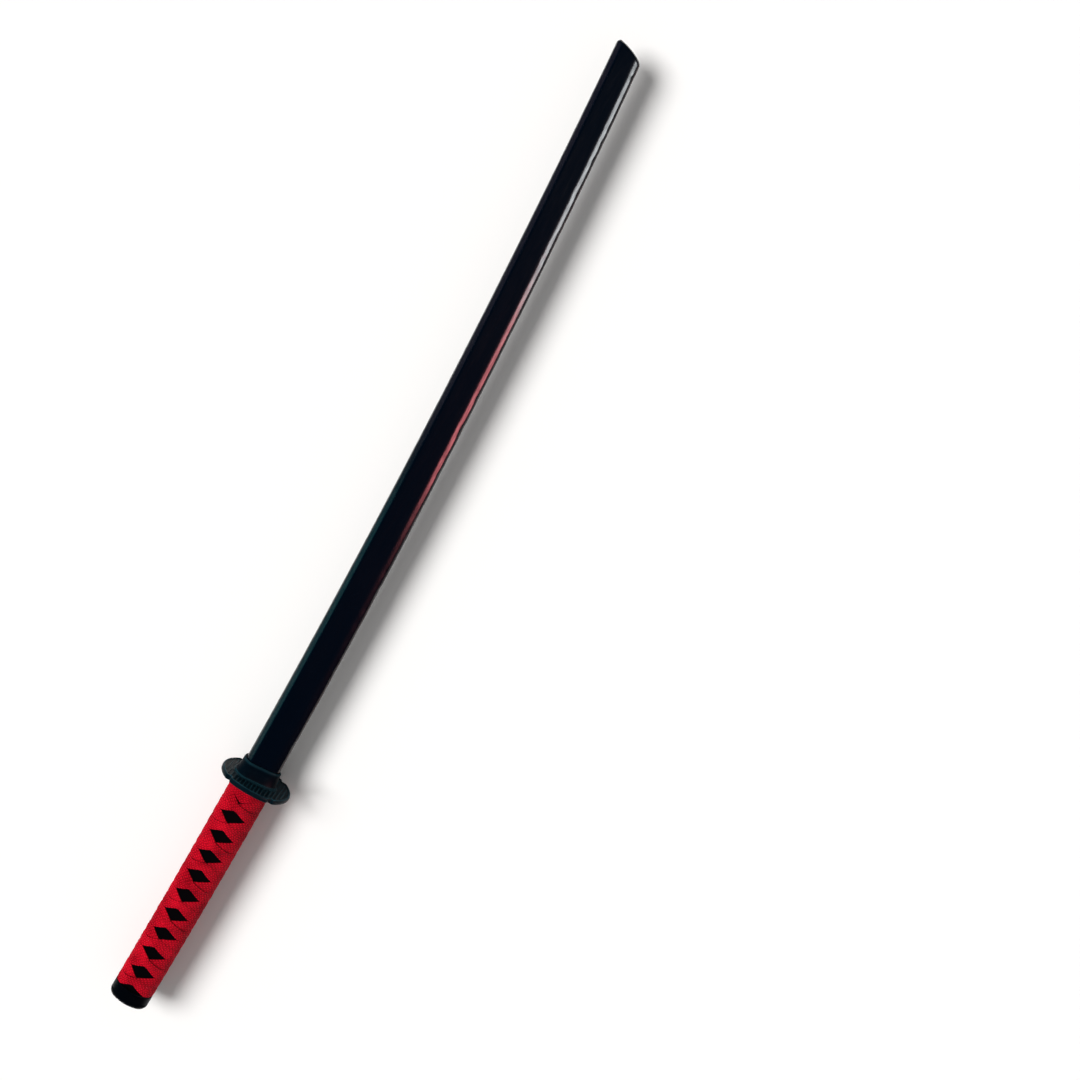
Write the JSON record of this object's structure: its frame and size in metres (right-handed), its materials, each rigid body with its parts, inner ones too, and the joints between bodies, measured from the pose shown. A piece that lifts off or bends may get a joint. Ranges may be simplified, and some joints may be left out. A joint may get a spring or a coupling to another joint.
{
  "type": "wooden practice sword",
  "caption": "Curved wooden practice sword with a black lacquered blade, a lobed guard held by a rubber stopper, and a handle bound in crossed red cord.",
  "frame": {"origin": "centre of the guard seat, where the blade leaves the handle collar, on the sword's curved centreline", "axes": "+X along the centreline's tangent at the origin towards the tip, +Y towards the spine (inside of the curve), +Z out of the upper face, so the sword lies flat on its side"},
  "size_m": [1.0187, 0.0783, 0.0664],
  "materials": {
    "black_lacquered_wood": "gloss lacquer",
    "black_moulded_plastic": "satin moulded",
    "black_rubber": "satin",
    "black_underlay_cloth": "matt woven",
    "red_cord": "flat braided cotton"
  },
  "bodies": {
    "sword": {"sword_body": "black_lacquered_wood", "handle_collar": "black_moulded_plastic", "pommel_cap": "black_moulded_plastic", "underlay_front": "black_underlay_cloth", "underlay_back": "black_underlay_cloth", "grip_cord_first_half": "red_cord", "grip_cord_second_half": "red_cord"},
    "guard": {"guard": "black_moulded_plastic"},
    "stopper": {"guard_stopper": "black_rubber"}
  },
  "joints": [
    {"name": "guard_slide", "type": "hinge", "parent": "sword", "child": "guard", "pos_m": [0, 10.4, 0], "axis": [0, 0, 1], "range_deg": [0, 4.2]},
    {"name": "stopper_slide", "type": "hinge", "parent": "guard", "child": "stopper", "pos_m": [0, 10.4, 0], "axis": [0, 0, 1], "range_deg": [0, 4.17]}
  ]
}
